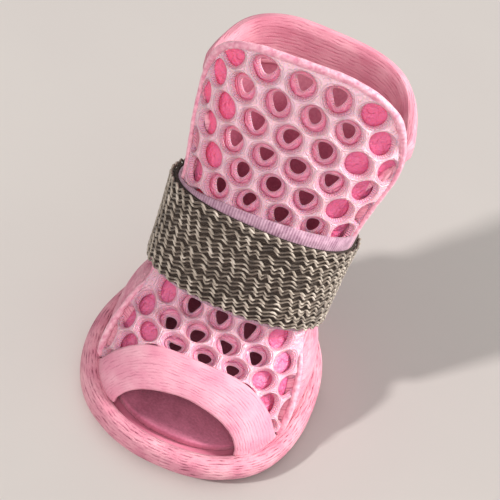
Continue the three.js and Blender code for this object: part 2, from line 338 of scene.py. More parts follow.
SELVEDGE_TOP, SELVEDGE_SIDE = 1.8, 0.7  # unpierced cloth along the panel's top and sides
UNDER_BAND, UNDER_SIDE, UNDER_TOP = 2.2, 3.4, 2.5  # cloth that runs on under toe band and piping
SQUEEZE_SIDE, SQUEEZE_TOP = 0.1, 0.06  # share that is left of the cloth past the panel's edges
TWIST, TWIST_OVER = radians(-6), 30  # how far the worn shaft has turned, and over what length
SWELL, SWELL_SIZE = 0.35, 13.0  # soft unevenness of the sewn wall, and how far apart its swells lie
TOE_BAND_HALF, TOE_BAND_TOP = 22.0, 20.0  # the mesh stops under the toe band


@lru_cache(None)
def section(station):
    """The section at a station, by a smooth curve through the table's rows."""
    last = len(SECTIONS) - 1
    k = max(0, min(last - 1, sum(row[0] <= station for row in SECTIONS) - 1))
    rows = [SECTIONS[min(last, max(0, k + step))] for step in (-1, 0, 1, 2)]
    span = rows[2][0] - rows[1][0]
    t = (station - rows[1][0]) / span

    def curve(column):
        before, low, high, after = (row[column] for row in rows)
        first = (high - before) / (rows[2][0] - rows[0][0]) * span
        second = (after - low) / max(1e-6, rows[3][0] - rows[1][0]) * span
        return (
            (2 * t**3 - 3 * t**2 + 1) * low
            + (t**3 - 2 * t**2 + t) * first
            + (3 * t**2 - 2 * t**3) * high
            + (t**3 - t**2) * second
        )

    return [curve(column) for column in range(1, 7)]


def between(value, *pairs):
    """Straight steps through (value, result) pairs."""
    for (x0, y0), (x1, y1) in zip(pairs, pairs[1:]):
        if value <= x1:
            return y0 + (y1 - y0) * max(0.0, (value - x0) / (x1 - x0))
    return pairs[-1][1]


def form(angle, station):
    """The upper's outer face, in mm: angle 0 at the front, a quarter turn at +X."""
    angle += TWIST * min(1.0, max(0.0, (station - WAIST) / TWIST_OVER))
    front_y, front_z, back_y, back_z, half, square = section(station)
    across, ahead = rounded(angle, square)
    y = (front_y + back_y) / 2 + ahead * (front_y - back_y) / 2
    z = (front_z + back_z) / 2 + ahead * (front_z - back_z) / 2
    sway = between(station, (ANKLE, 0.0), (WAIST, -0.5), (75, 0.4), (97, -1.3))
    sway += between(station, (WAIST, 0.0), (97, -2.4)) * (1 - ahead) / 2
    z += spring(y) * min(1.0, max(0.0, (ANKLE - station) / ANKLE))
    return Vector((across * half + sway, y, z))


def on_wall(angle, station, out):
    """The same face moved out along its normal, with the soft unevenness of sewn cloth."""
    here = form(angle, station)
    around = form(angle + 0.01, station) - form(angle - 0.01, station)
    up = form(angle, station + 0.2) - form(angle, station - 0.2)
    soft = SWELL * noise.noise(here / SWELL_SIZE)
    return here + around.cross(up).normalized() * (out + soft)


def collar_edge(angle):
    """The station of the collar's edge: lower at the sides than in front and behind."""
    end = EDGE_FRONT if cos(angle) > 0 else EDGE_BACK
    return WAIST + end + (EDGE_SIDE - end) * abs(sin(angle)) ** EDGE_POWER


@lru_cache(None)
def girth(station):
    """Lengths in mm from the front along half the ring, at even steps of angle."""
    steps = 72
    points = [form(pi * k / steps, station) for k in range(steps + 1)]
    sums = [0.0]
    for a, b in zip(points, points[1:]):
        sums.append(sums[-1] + (b - a).length)
    return sums


def angle_at(reach, station):
    """The angle that lies so many mm round from the front."""
    sums = girth(round(station, 0))
    k = next((k for k in range(1, len(sums)) if sums[k] >= abs(reach)), len(sums) - 1)
    part = (abs(reach) - sums[k - 1]) / (sums[k] - sums[k - 1])
    return copysign((k - 1 + part) * pi / (len(sums) - 1), reach)


def reach_at(angle, station):
    """How many mm round from the front an angle lies."""
    sums = girth(round(station, 0))
    place = angle / pi * (len(sums) - 1)
    k = min(int(place), len(sums) - 2)
    return sums[k] + (sums[k + 1] - sums[k]) * (place - k)


def seam_angle(station):
    """Where the mesh panel ends and the back panel starts, as an angle from the front."""
    return radians(between(station, (4, 64), (20, 67), (31, 70), (50, 74), (66, 71), (97, 70)))


def panel_edge(angle):
    """The mesh panel's top edge: the collar's edge, cut round at its corners and a little askew."""
    part = min(1.0, abs(angle) / seam_angle(WAIST + EDGE_SIDE))
    return collar_edge(angle) - CORNER_CUT * part**CORNER_POWER + ASKEW * sin(angle)


def toe_band_top(x):
    """The station of the toe band's upper edge, x mm across."""
    return TOE_BAND_TOP * max(0.0, 1 - (abs(x) / TOE_BAND_HALF) ** 3) ** 0.8


def level_station(angle, front_station):
    """The station at an angle on the tilted plane that a row of holes follows."""
    lean = between(front_station, (14, FOOT_TILT), (31, SHAFT_TILT + 0.02), (60, SHAFT_TILT))
    across = Vector((0, sin(lean), cos(lean)))
    level = form(0.0, front_station).dot(across)
    low, high = -3.0, 99.0
    for _ in range(18):
        middle = (low + high) / 2
        if form(angle, middle).dot(across) < level:
            low = middle
        else:
            high = middle
    return (low + high) / 2


row_stations = [ROW_FIRST]
while row_stations[-1] < 100:
    step = ROW_STEP + (ROW_STEP_TOP - ROW_STEP) * (row_stations[-1] - ROW_FIRST) / 80
    row_stations.append(row_stations[-1] + step)
LAST_FRONT = 97.5  # the highest station that a row is worked out for
CUT_MARGIN = 0.6  # the cut mesh ends this far inside the panel's top edge and above the sole
MESH_THICK = 0.5
HOLE_TALL = 1.16  # the rows are closer than a regular lattice's; this makes the holes round again
ROW_FLAT = sqrt(3) / 2  # flat distance between rows of a regular lattice of hexagons one unit wide


def mesh_place(x, y, cut=True):
    """Angle and station of a flat point of the lattice, x in holes across and y in flat units, and
    how far it lies past the panel's side. A cut lattice ends at the panel's edges."""
    row = max(0.0, y / ROW_FLAT)
    k = min(int(row), len(row_stations) - 2)
    front = min(LAST_FRONT, row_stations[k] + (row_stations[k + 1] - row_stations[k]) * (row - k))
    reach = x * between(front, (30, PITCH_FOOT), (58, PITCH_WAIST), (97, PITCH_COLLAR))
    limit = reach_at(seam_angle(front), front)
    if abs(reach) > limit and cut:
        reach = copysign(limit + SQUEEZE_SIDE * (abs(reach) - limit), reach)
    angle = angle_at(reach, front)
    station = level_station(angle, front)
    top = panel_edge(angle) - CUT_MARGIN
    if station > top and cut:
        station = top + SQUEEZE_TOP * (station - top)
    return angle, max(station, CUT_MARGIN), abs(reach) - limit


def mesh_lattice(web, ring_shapes, depths, wobble, pierced_half):
    """Hexagon cells with their middles cut away, laid on the wall, with a web left between holes.
    Each hole has a ring of corners at its edge and one deeper in, so that the cloth turns down into
    it; "ring_shapes" draws every second corner of a ring out or in, and "depths" are those of the
    web and the two rings. Only cells less than "pierced_half" from the panel's middle are pierced."""
    lattice = bmesh.new()
    pierced = []
    for row in range(len(row_stations)):
        for column in range(-5, 6):
            x = column + 0.5 * (row % 2)
            angle, station, past = mesh_place(x, row * ROW_FLAT, False)
            point = form(angle, station)
            under_band = point.y < 0 and station < toe_band_top(point.x) - UNDER_BAND
            if past > UNDER_SIDE or under_band or station > collar_edge(angle) + UNDER_TOP:
                continue
            bmesh.ops.create_circle(
                lattice, cap_ends=True, segments=6, radius=1 / sqrt(3),
                matrix=Matrix.Translation((x, row * ROW_FLAT, 0)),
            )
            inside = station < panel_edge(angle) - SELVEDGE_TOP and past < -SELVEDGE_SIDE
            if inside and abs(x) < pierced_half:
                pierced.append(Vector((x, row * ROW_FLAT, 0)))
    bmesh.ops.remove_doubles(lattice, verts=lattice.verts, dist=0.01)
    bmesh.ops.recalc_face_normals(lattice, faces=lattice.faces)
    if lattice.faces[:][0].normal.z < 0:
        bmesh.ops.reverse_faces(lattice, faces=lattice.faces)
    uv = lattice.loops.layers.uv.new("cloth")
    ring = lattice.verts.layers.int.new("ring")
    middles = [face for face in lattice.faces if any(
        (face.calc_center_median() - centre).length < 0.1 for centre in pierced
    )]
    for k, thickness in enumerate((web, 0.05), 1):
        before = set(lattice.verts)
        bmesh.ops.inset_individual(lattice, faces=middles, thickness=thickness)
        for vert in set(lattice.verts) - before:
            vert[ring] = k
    bmesh.ops.delete(lattice, geom=middles, context="FACES_ONLY")
    for face in lattice.faces:
        face.smooth = True
        middle = face.calc_center_median()
        near = min(pierced, key=lambda centre: (centre - middle).length)
        first = atan2(middle.y - near.y, middle.x - near.x)
        for loop in face.loops:
            corner = loop.vert.co - near
            turn = (atan2(corner.y, corner.x) - first + pi) % (2 * pi) - pi
            loop[uv].uv = (first + turn) * 3 / pi, 1 - loop.vert[ring] / 2
    for vert in lattice.verts:
        if vert[ring]:
            near = min(pierced, key=lambda centre: (centre - vert.co).length)
            corner = vert.co - near
            odd = round(atan2(corner.y, corner.x) * 3 / pi - 0.5) % 2
            scale = ring_shapes[vert[ring] - 1][odd]
            stretch = scale + wobble * noise.noise(vert.co * 2.7)
            vert.co = near + Vector((corner.x * stretch, corner.y * stretch * HOLE_TALL, 0))
    for vert in lattice.verts:
        angle, station, _ = mesh_place(*vert.co.xy)
        shut = between(panel_edge(angle) - station, (0.5, 0.25), (3.5, 1.0))
        vert.co = on_wall(angle, station, depths[vert[ring]] * shut) * MM
    return lattice


def thicken(piece, thickness, offset=-1.0):
    """Gives a sheet its cloth's thickness in mm, inwards from the face that was laid."""
    wall = piece.modifiers.new("cloth thickness", "SOLIDIFY")
    wall.thickness, wall.offset = thickness * MM, offset
    return wall


def finish_mesh(piece):
    """Gives a lattice its thickness and turns its six-sided holes round."""
    thicken(piece, MESH_THICK, 0.0)
    soft = piece.modifiers.new("round holes", "SUBSURF")
    soft.levels = soft.render_levels = 2


def spacer_mesh(name, stops, roughness, painted_top_highlight):
    """Polyester spacer mesh: filament yarns that run round the holes and turn down into them, with a silky
    gloss. The stops run from the hole's inside to the crest between holes, and paint light and shade into
    the holes and onto the crests; a given share also paints the yarn paler near the collar, a painted
    highlight."""
    material, tree, shader = new_material(
        name, Roughness=roughness, IOR=1.5, Sheen_Weight=0.05, Sheen_Roughness=0.4,
        Subsurface_Weight=0.35, Subsurface_Scale=0.003, Coat_Weight=0.25, Coat_Roughness=0.2,
    )
    cloth = add(tree, "ShaderNodeUVMap", {"uv_map": "cloth"})
    parts = add(tree, "ShaderNodeSeparateXYZ", i0=cloth)
    place = add(tree, "ShaderNodeTexCoord").outputs["Object"]
    turn, crest = parts.outputs["X"], parts.outputs["Y"]
    drift = add(tree, "ShaderNodeTexNoise", Vector=place, Scale=1.0 / (2.4 * MM), Detail=3.0)
    lines = add(tree, "ShaderNodeMath", {"operation": "MULTIPLY_ADD"}, i0=drift, i1=0.9, i2=crest)
    lines = add(tree, "ShaderNodeMath", {"operation": "MULTIPLY"}, i0=lines, i1=24.0)
    round_hole = add(tree, "ShaderNodeMath", {"operation": "SINE"}, i0=lines)
    strands = add(tree, "ShaderNodeMath", {"operation": "MULTIPLY_ADD"}, i0=turn, i1=34.0, i2=drift)
    strands = add(tree, "ShaderNodeMath", {"operation": "SINE"}, i0=strands)
    deep = add(tree, "ShaderNodeMapRange", Value=crest, i1=0.55, i2=0.3)
    yarn = add(tree, "ShaderNodeMix", Factor=deep, A=round_hole, B=strands)
    tint = add(tree, "ShaderNodeTexNoise", Vector=place, Scale=1.0 / (5 * MM), Detail=4.0)
    tint = add(tree, "ShaderNodeMath", {"operation": "MULTIPLY_ADD"}, i0=tint, i1=0.5, i2=-0.25)
    tone = add(tree, "ShaderNodeMath", {"operation": "MULTIPLY_ADD"}, i0=yarn, i1=0.1, i2=tint)
    # painted light and shade: the tone follows the crest, so the stops set how light or dark the holes and
    # crests are painted
    tone = add(tree, "ShaderNodeMath", {"operation": "ADD"}, i0=tone, i1=crest)
    high = add(tree, "ShaderNodeSeparateXYZ", Vector=place).outputs["Z"]
    # painted highlight: the yarn is painted paler towards the collar
    painted_collar_highlight = add(tree, "ShaderNodeMapRange", Value=high, i1=45 * MM, i2=75 * MM, i4=painted_top_highlight)
    tone = add(tree, "ShaderNodeMath", {"operation": "MULTIPLY_ADD"}, i0=tone, i1=1 - painted_top_highlight, i2=painted_collar_highlight)
    colour = add(tree, "ShaderNodeValToRGB", stops=stops, Fac=tone)
    dents = add(tree, "ShaderNodeBump", Height=yarn, Distance=0.13 * MM, Strength=0.9)
    wire(shader, Base_Color=colour, Normal=dents)
    return material


# Painted light: the inner face is painted paler down in its holes, to lift the shade there, and deeper pink
# on its web.
inner_cloth = spacer_mesh(
    "spacer mesh, hot pink inner face", ((0.1, "#f8b0c8"), (0.5, "#f49cb9"), (0.9, "#e16895")),
    roughness=0.4, painted_top_highlight=0.0,
)
lattice = mesh_lattice(
    web=0.2, ring_shapes=((1.02, 0.7), (0.94, 0.62)), depths=(-1.8, -2.1, -2.4), wobble=0.5,
    pierced_half=1.8,
)
inner_mesh = make_piece("mesh_inner", lattice, inner_cloth)
finish_mesh(inner_mesh)
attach(inner_mesh, "root")
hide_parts("upper")

# Painted light: the outer face is painted a little darker down in its holes, as painted shade, and near
# white on its crests and paler towards the collar, as painted highlights.
outer_cloth = spacer_mesh(
    "spacer mesh, pale pink outer face",
    ((0.0, "#f2a2bd"), (0.25, "#f0a2bb"), (0.39, "#ea9db6"), (0.7, "#f0b2c4"), (1.0, "#ffc4d3")),
    roughness=0.34, painted_top_highlight=0.3,
)
lattice = mesh_lattice(
    web=0.115, ring_shapes=((1.1, 1.1), (1.05, 1.05)), depths=(0.15, -0.25, -1.2), wobble=0.18,
    pierced_half=5.0,
)
outer_mesh = make_piece("mesh_outer", lattice, outer_cloth)
finish_mesh(outer_mesh)
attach(outer_mesh, "root")
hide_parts("upper")

# ---------------------------------------------------------------------------------------------
# Back panel. Ribbed pink knit from one piping round the heel and shaft to the other, sewn into
# the rim below and bound at the collar. It is cut as one piece and steamed to the form.
PANEL_THICK = 1.3
MEAN_RADIUS = 22.0  # of the wall, to turn an angle round it into a length
BACK_DIP = 0.5  # how far round the back the collar's dip beside each seam reaches, as an angle
FOLD_PITCH, FOLD_REACH, FOLD_DEPTH = 2.3, 8.0, 0.4  # gathers beside the foot's piping
LAP, LAP_DROP = 0.24, 3.0  # how far it runs in under the mesh, as an angle, and how deep in mm
PANEL_LENGTH, PANEL_TALL = 80.0, 90.0


def back_edge(angle):
    """The collar's edge behind the seams. It dips at each seam to meet the mesh panel's corner, and
    falls away where it runs in under the mesh."""
    turned = (angle + pi) % (2 * pi) - pi
    seam = seam_angle(WAIST + EDGE_SIDE)
    behind = abs(turned) - seam
    dip = max(0.0, 1 - max(0.0, behind) / BACK_DIP) ** 3 * (CORNER_CUT - ASKEW * sin(turned))
    return collar_edge(max(abs(turned), seam)) - dip + MEAN_RADIUS * min(0.0, behind)


def panel_point(u, v):
    """u runs round the heel from under the mesh on one side to the other, and v up the wall."""
    angle, station = 0.0, 50.0
    for _ in range(2):
        seam = seam_angle(station)
        angle = seam - LAP + (2 * pi - 2 * (seam - LAP)) * u
        station = 0.4 + (back_edge(angle) - 0.8) * v
    beside = (pi - abs(pi - angle) - seam) * MEAN_RADIUS
    painted_top_highlight = max(0.0, 1 - abs(beside) / FOLD_REACH) * max(0.0, min(1.0, (ANKLE - station) / 10))
    lapped = LAP_DROP * between(beside, (-1.6, 1.0), (0.3, 0.0))
    lapped *= between(back_edge(angle) - station, (1.0, 0.3), (7.0, 1.0))
    fold = FOLD_DEPTH * sin(2 * pi * (beside + 0.06 * station) / FOLD_PITCH) * painted_top_highlight
    return on_wall(angle, station, 0.1 + fold - lapped)


panel_cloth = ribbed_cloth("ribbed knit panel, rose", "#c06785", "#dd8ea7", "#ecb0c0", 0.9, 0.18)
sheet = lay(flat_sheet(150, 90), panel_point, (PANEL_LENGTH, PANEL_TALL))
back_panel = make_piece("back_panel", sheet, panel_cloth)
back_panel.data.materials.append(lining)
wall = thicken(back_panel, PANEL_THICK)
wall.material_offset = 1  # its inside is the lining
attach(back_panel, "root")
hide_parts("upper")

# ---------------------------------------------------------------------------------------------
# Toe band. A crescent of the ribbed knit over the toes, from rim to rim; its lower edge is the
# top of the toe hole, turned under and stitched.
TOE_HOLE_HALF, TOE_HOLE_RISE, TOE_HOLE_LOW = 14.2, 8.6, 5.8
TOE_BAND_THICK = 1.5
TOE_BAND_OUT, TOE_BAND_PLUMP = 0.5, 0.6  # how far its edges and its middle stand proud of the wall
TOE_BAND_LENGTH, TOE_BAND_WIDTH = 52.0, 11.0


def station_at_height(z):
    """The station on the front of the foot at a height."""
    return between(z, (4.3, 0.0), (8.5, 4.5), (14.0, 11.0), (20.0, 20.0))


def across_angle(x, station):
    """The angle of the point that lies x mm across at a station, on the front half."""
    half, square = section(station)[4:]
    part = min(0.9999, abs(x) / half)
    return copysign(1, x) * atan2(part, (1 - part**square) ** (1 / square))


def toe_band_point(u, v):
    """u runs over the toes from side to side, and v from the toe hole up to the mesh."""
    turn = pi * (1 - u)
    low_x, high_x = TOE_HOLE_HALF * cos(turn), (TOE_BAND_HALF - 0.2) * cos(turn)
    low = station_at_height(TOE_HOLE_LOW + TOE_HOLE_RISE * sin(turn))
    high = max(toe_band_top(high_x), 0.5)
    x = low_x + (high_x - low_x) * v
    station = low + (high - low) * v
    plump = TOE_BAND_PLUMP * sin(pi * min(1.0, max(0.0, v))) ** 0.5
    return on_wall(across_angle(x, station), station, TOE_BAND_OUT + plump)


toe_cloth = ribbed_cloth("ribbed knitted tape, pale rose", "#b96083", "#d98ea6", "#e6abbc", 0.72, 0.09, 0.15)
sheet = lay(flat_sheet(110, 24), toe_band_point, (TOE_BAND_LENGTH, TOE_BAND_WIDTH))
toe_band = make_piece("toe_band", sheet, toe_cloth)
thicken(toe_band, TOE_BAND_THICK)
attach(toe_band, "root")
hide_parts("upper")

# ---------------------------------------------------------------------------------------------
# Piping. A corded edge in pale pink, sewn from the rim up one side of the mesh, along the front
# of the collar and down the other side.
PIPING_RADIUS, PIPING_OUT, PIPING_LUMP = 0.95, 0.3, 0.12  # the last is a share of the radius


def tube(name, lines, radius, material, closed=False, sides=2):
    """Round cords along lines of (point, share of the radius), all in mm."""
    curve = bpy.data.curves.new(name, "CURVE")
    curve.dimensions = "3D"
    curve.bevel_depth, curve.bevel_resolution = radius * MM, sides
    curve.use_fill_caps = True
    for line in lines:
        spline = curve.splines.new("POLY")
        spline.points.add(len(line) - 1)
        for spot, (point, thick) in zip(spline.points, line):
            spot.co = (*(point * MM), 1.0)
            spot.radius = thick
        spline.use_cyclic_u = closed
    curve.materials.append(material)
    piece = bpy.data.objects.new(name, curve)
    bpy.context.scene.collection.objects.link(piece)
    return piece


# Cord wrapped in bias tape: a soft sheen along it, and lumps and tints where the tape is gathered.
piping_cloth, tree, shader = new_material("corded piping, pale pink", Roughness=0.5, Sheen_Weight=0.3)
place = add(tree, "ShaderNodeTexCoord").outputs["Object"]
lumps = add(tree, "ShaderNodeTexNoise", Vector=place, Scale=1.0 / (1.1 * MM), Detail=3.0)
colour = add(tree, "ShaderNodeValToRGB", stops=((0.3, "#d2809c"), (0.7, "#efb7c8")), Fac=lumps)
dents = add(tree, "ShaderNodeBump", Height=lumps, Distance=0.35 * MM)
wire(shader, Base_Color=colour, Normal=dents)


def panel_side(side):
    """The mesh panel's edge from the rim up to its top corner, on the +X side (1) or the other (-1)."""
    corner = WAIST + EDGE_SIDE
    for _ in range(6):
        corner = panel_edge(side * seam_angle(corner))
    stations = [1.0 + (corner - 1.8) * k / 70 for k in range(71)]
    return [(side * seam_angle(s), s) for s in stations]


right_side, left_side = panel_side(1), panel_side(-1)
first, last = right_side[-1][0], left_side[-1][0]
front_turns = [first + (last - first) * k / 80 for k in range(1, 80)]
route = right_side + [(angle, panel_edge(angle)) for angle in front_turns] + left_side[::-1]
line = []
for angle, station in route:
    lump = PIPING_LUMP * noise.noise(Vector((station / 2.0, angle * 9, 4.0)))
    thick = between(station, (10, 0.95), (25, 0.55), (75, 0.55), (86, 0.95))  # slimmer up the sides
    line.append((on_wall(angle, station, PIPING_OUT), lump + thick))
piping = tube("piping", [line], PIPING_RADIUS, piping_cloth)
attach(piping, "root")
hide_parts("upper")

# ---------------------------------------------------------------------------------------------
# Collar facing. A broad ribbed tape folded over the back edge of the collar and run down inside,
# softly rolled at the top so that it does not rub the leg.
FACING_FOLD = (  # part of its width, how far out from the wall and how far above the edge, mm
    (0.0, 1.0, -3.0), (0.25, 1.1, 0.0), (0.36, 0.2, 1.4), (0.46, -1.3, 1.2), (0.56, -2.1, -0.6),
    (1.0, -2.3, -10.0),
)
FACING_LAP = 0.16  # how far its ends run in under the mesh, as an angle
FACING_LENGTH, FACING_WIDTH, FACING_THICK = 70.0, 17.0, 0.5


def facing_point(u, v):
    """u runs round the back of the collar, and v over the fold from its outside to its inside."""
    start = seam_angle(WAIST + EDGE_SIDE) - FACING_LAP
    angle = start + (2 * pi - 2 * start) * u
    free = between(min(u, 1 - u) * FACING_LENGTH, (2.5, 0.0), (8.0, 1.0))  # flat at its ends
    out = between(v, *[(part, side) for part, side, _ in FACING_FOLD])
    rise = between(v, *[(part, above) for part, _, above in FACING_FOLD])
    out = out * free - (0.9 + 0.4 * v) * (1 - free)
    return on_wall(angle, back_edge(angle) + min(rise, rise * free), out)


facing_cloth = ribbed_cloth("ribbed knit facing, rose", "#bb657b", "#cb7f94", "#e0a5b3", 0.62, 0.07, 0.28)
sheet = lay(flat_sheet(110, 50), facing_point, (FACING_LENGTH, FACING_WIDTH))
bmesh.ops.smooth_vert(
    sheet, verts=sheet.verts, factor=0.3, use_axis_x=True, use_axis_y=True, use_axis_z=True
)
facing = make_piece("collar_facing", sheet, facing_cloth)
thicken(facing, FACING_THICK)
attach(facing, "root")
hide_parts("upper")

# ---------------------------------------------------------------------------------------------
# Strap backing. A finely ribbed mauve band round the ankle, a little wider than the strap, with
# its ribs across the band; it keeps the elastic off the mesh.
STRAP_LOW, STRAP_HIGH = WAIST - 20.6, WAIST
BACKING_LOW = STRAP_LOW - 0.6
BACKING_RISE = 2.8  # how far it stands above the strap at most
BACKING_OUT, BACKING_CROWN, BACKING_THICK = 0.55, 0.3, 0.6  # from the wall, and fuller in its middle
BACKING_RIB, BACKING_RIB_HIGH = 0.62, 0.08
BAND_LENGTH = 122.0

# Ribbed band: half matt, in a dusty mauve; its fine ribs are painted paler along their tops, a painted
# highlight.
backing_cloth, tree, shader = new_material("finely ribbed mauve band", Roughness=0.7, Sheen_Weight=0.3)
cloth = add(tree, "ShaderNodeUVMap", {"uv_map": "cloth"})
relief = add(tree, "ShaderNodeAttribute", {"attribute_name": "relief"}).outputs["Fac"]
tint = add(tree, "ShaderNodeTexNoise", Vector=cloth, Scale=0.6, Detail=4.0)
# painted highlight: the tone rises with the rib's relief, so the ribs' tops are paler
tone = add(tree, "ShaderNodeMath", {"operation": "MULTIPLY_ADD"}, i0=relief, i1=0.3, i2=tint)
colour = add(tree, "ShaderNodeValToRGB", stops=((0.35, "#875a75"), (0.9, "#c49fb4")), Fac=tone)
fine = add(tree, "ShaderNodeTexNoise", Vector=cloth, Scale=6.0, Detail=3.0)
dents = add(tree, "ShaderNodeBump", Height=fine, Distance=0.08 * MM)
wire(shader, Base_Color=colour, Normal=dents)


def slack(angle, station):
    """How far the strap stands off the shaft, in mm: it is looser on one side, most at its top."""
    return max(0.0, -sin(angle)) ** 2 * between(station, (STRAP_LOW, 0.7), (STRAP_HIGH, 0.9))


def backing_point(u, v, height):
    """u runs round the ankle, and v up the band."""
    angle = 2 * pi * u
    rise = between(sin(angle), (-0.95, -0.6), (-0.4, 1.3), (0.3, 2.2), (1.0, BACKING_RISE))
    station = BACKING_LOW + (STRAP_HIGH + rise - BACKING_LOW) * v
    crown = sin(pi * v**0.6) ** 0.25 if 0 < v < 1 else 0.0
    out = BACKING_OUT + BACKING_CROWN * crown + BACKING_RIB_HIGH * height
    return on_wall(angle, station, out + 0.8 * slack(angle, station))


sheet = lay(
    flat_sheet(1180, 10), backing_point, (BAND_LENGTH, STRAP_HIGH + BACKING_RISE - BACKING_LOW),
    relief=lambda along: 0.5 + 0.5 * cos(2 * pi * along / BACKING_RIB),
)
close_ring(sheet)
backing = make_piece("backing_band", sheet, backing_cloth)
thicken(backing, BACKING_THICK)
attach(backing, "root")
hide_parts("strap_backing")

# ---------------------------------------------------------------------------------------------
# Strap. Woven elastic: a dark brown ground with rows of light zigzag threads, two to a row, that
# lie proud of it. The rows run round the ankle a thread's width apart.
GROUND_OUT, GROUND_THICK = 2.0, 0.7
THREAD_ROWS = 10
THREAD_RADIUS = 0.26
THREAD_LIFT, LINK_LIFT = 0.08, 0.26  # how far a thread's middle lies above the ground
ZIGZAG_LENGTH = 2.72
ZIGZAG_RISE = 0.52  # half the height of a zigzag
ZIGZAG_SLOW = 0.62  # share of a zigzag's length that it climbs over
STRAND_GAP, STRAND_SHIFT = 0.40, 0.04  # from the middle of a pair to each strand, up and along
ROW_SHIFT = 0.10  # how far each row runs ahead of the one below, in zigzags
ROW_WANDER = 0.5  # how unevenly the rows run along, in zigzags
STEPS = 6  # points in one zigzag

# Elastic's ground weave: dull, with painted shade that makes it nearly black in its gaps and paler on its
# raised warp, and a few worn brown fibres.
ground_cloth, tree, shader = new_material("woven elastic ground, dark brown", Roughness=0.85)
cloth = add(tree, "ShaderNodeUVMap", {"uv_map": "cloth"})
warp = add(
    tree, "ShaderNodeTexWave", {"wave_type": "BANDS", "bands_direction": "Y"},
    Vector=cloth, Scale=0.75, Distortion=3.0, Detail=2.0, Detail_Scale=2.0,
).outputs["Fac"]
specks = add(tree, "ShaderNodeTexNoise", Vector=cloth, Scale=2.6, Detail=5.0)
# painted shade: the tone follows the warp's relief, nearly black in the gaps between its cords
tone = add(tree, "ShaderNodeMath", {"operation": "MULTIPLY_ADD"}, i0=warp, i1=0.35, i2=specks)
browns = (0.4, "#201814"), (0.75, "#3b2f27"), (1.0, "#5f5348")
colour = add(tree, "ShaderNodeValToRGB", stops=browns, Fac=tone)
dents = add(tree, "ShaderNodeBump", Height=warp, Distance=0.2 * MM)
wire(shader, Base_Color=colour, Normal=dents)


def on_strap(angle, station, out):
    """A point of the strap's outer face, moved out."""
    return on_wall(angle, station, GROUND_OUT + slack(angle, station) + out)


def ground_point(u, v):
    """The ground weave, which stops short of the strap's edges and turns down at them."""
    station = STRAP_LOW + 0.3 + (STRAP_HIGH - STRAP_LOW - 0.8) * v
    return on_strap(2 * pi * u, station, -0.8 * abs(2 * v - 1) ** 8)


sheet = lay(flat_sheet(150, 22), ground_point, (BAND_LENGTH, STRAP_HIGH - STRAP_LOW))
close_ring(sheet)
strap = make_piece("strap_ground", sheet, ground_cloth)
thicken(strap, GROUND_THICK)
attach(strap, "root")
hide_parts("strap")


def thread_material(name, dark, middle, light):
    """Twisted polyester thread: unevenly dyed, with a dull gloss and a fine twist."""
    material, tree, shader = new_material(name, Roughness=0.45, Sheen_Weight=0.2)
    place = add(tree, "ShaderNodeTexCoord").outputs["Object"]
    dyed = add(tree, "ShaderNodeTexNoise", Vector=place, Scale=1.0 / (2.6 * MM), Detail=5.0)
    colour = add(tree, "ShaderNodeValToRGB", stops=((0.3, dark), (0.5, middle), (0.72, light)), Fac=dyed)
    ply = add(tree, "ShaderNodeTexNoise", Vector=place, Scale=1.0 / (0.25 * MM), Detail=3.0)
    dents = add(tree, "ShaderNodeBump", Height=ply, Distance=0.08 * MM)
    wire(shader, Base_Color=colour, Normal=dents)
    return material


thread = thread_material("polyester thread, grey brown", "#3d332c", "#62564b", "#867b6f")
# The pale thread is the tab's stitching, and also a painted highlight on the strap's links.
pale_thread_and_highlight = thread_material("polyester thread, pale grey and painted highlight", "#7a6f63", "#a59b8e", "#d2c9bd")


def zigzag(turn):
    """Height of the zigzag, from -1 to 1, after so many of them: a slow climb and a steep drop."""
    return between(turn % 1.0, (0.0, -1.0), (ZIGZAG_SLOW, 1.0), (1.0, -1.0))


row_pitch = (STRAP_HIGH - STRAP_LOW - 0.9) / THREAD_ROWS * 1.02
zigzags = round(BAND_LENGTH / ZIGZAG_LENGTH)


def row_wander(row, turns):
    """How far a row runs ahead or behind after so many zigzags, in zigzags."""
    return ROW_WANDER * noise.noise(Vector((turns * 0.4, row * 2.3, 5.0)))


def thread_point(row, strand, turns, lift):
    """A point of a thread after so many zigzags; a strand is the lower (-1) or upper (1) of a pair."""
    own = noise.noise(Vector((turns * 0.9, row * 3.1, strand * 3.0)))
    phase = turns + ROW_SHIFT * row + row_wander(row, turns) + STRAND_SHIFT * strand
    soft = (zigzag(phase - 0.06) + zigzag(phase + 0.06)) / 2
    station = STRAP_LOW + 0.35 + row_pitch * (row + 0.5) + STRAND_GAP * strand + 0.2 * own
    station += ZIGZAG_RISE * (1 + 0.6 * own) * soft
    return on_strap(2 * pi * turns / zigzags, station, lift)


# The paler links are the zigzags' steep drops, where the thread crosses over its neighbour; the pale thread
# paints a highlight on them where the light would catch them.
lines, drops = [], []
for row in range(THREAD_ROWS):
    for strand in (-1, 1):
        turns = [k / STEPS for k in range(zigzags * STEPS)]
        lines.append([(thread_point(row, strand, turn, THREAD_LIFT), 1.0) for turn in turns])
        for k in range(zigzags):
            start = k - ROW_SHIFT * row - row_wander(row, k) - STRAND_SHIFT * strand + ZIGZAG_SLOW - 0.02
            width = 1.0 + 0.12 * strand + 0.45 * noise.noise(Vector((k * 1.7, row * 1.9, strand)))
            drops.append([
                (thread_point(row, strand, start + part * (1 - ZIGZAG_SLOW), LINK_LIFT), width * size)
                for part, size in ((-0.25, 0.35), (0.1, 0.9), (0.5, 1.0), (0.9, 0.9), (1.25, 0.35))
            ])
threads = tube("strap_threads", lines, THREAD_RADIUS, thread, closed=True, sides=1)
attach(threads, "root")
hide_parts("strap")
# painted highlight: the steep drops are drawn in the pale thread
links = tube("strap_links", drops, THREAD_RADIUS, pale_thread_and_highlight, sides=1)
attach(links, "root")
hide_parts("strap")

